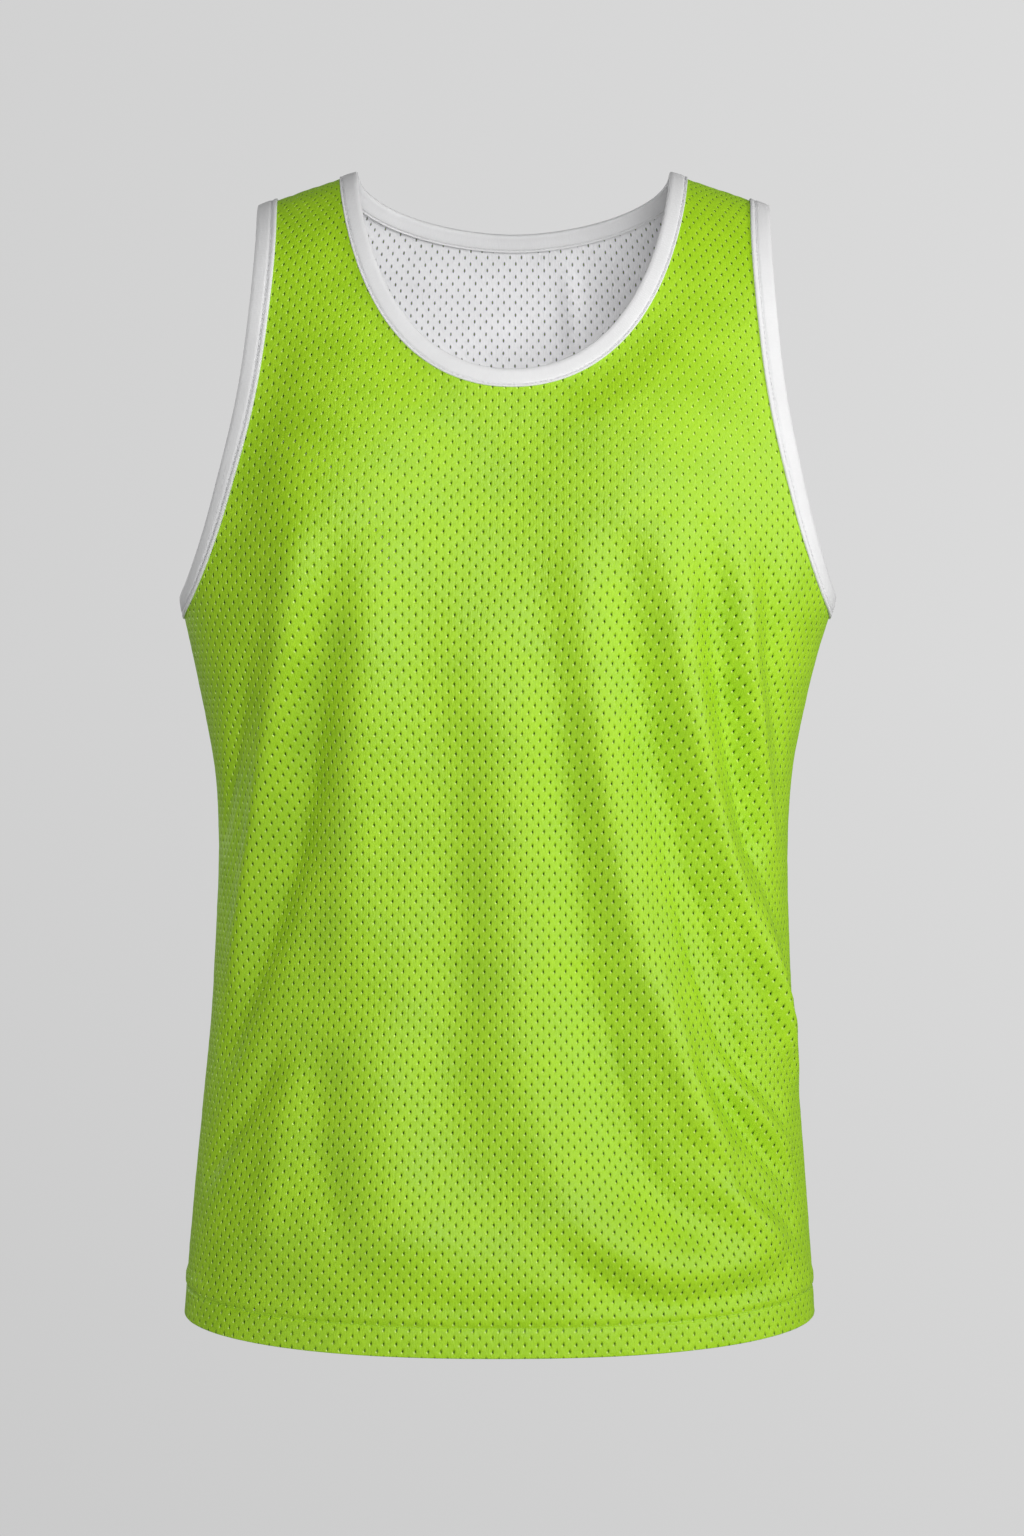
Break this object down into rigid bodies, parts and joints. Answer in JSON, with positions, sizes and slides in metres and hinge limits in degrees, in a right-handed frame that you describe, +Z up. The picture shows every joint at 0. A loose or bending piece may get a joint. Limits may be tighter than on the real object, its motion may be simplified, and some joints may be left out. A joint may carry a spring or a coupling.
{
  "type": "basketball jersey",
  "caption": "Sleeveless two-layer mesh basketball jersey in worn shape, lime outside and white inside, with white tape binding at the scooped neck and armholes, open at neck, armholes and hem",
  "frame": {"origin": "Midway between the shoulders at about the height of the neck ends of the shoulder seams, where a wearer's shoulders hold the jersey up", "axes": "+X is right as seen from the front (the wearer's left), +Y points to the back so the front faces -Y, +Z is up"},
  "size_m": [0.4354, 0.2443, 0.7698],
  "materials": {
    "lime_mesh": "perforated polyester knit with a soft satin sheen",
    "white_mesh": "perforated white polyester knit, matt",
    "white_tape": "smooth white knit tape, folded over the edge and topstitched"
  },
  "bodies": {
    "root": {"front": "lime_mesh", "back": "lime_mesh", "front_lining": "white_mesh", "back_lining": "white_mesh", "neck_binding": "white_tape", "armhole_binding_left": "white_tape", "armhole_binding_right": "white_tape"}
  },
  "joints": []
}
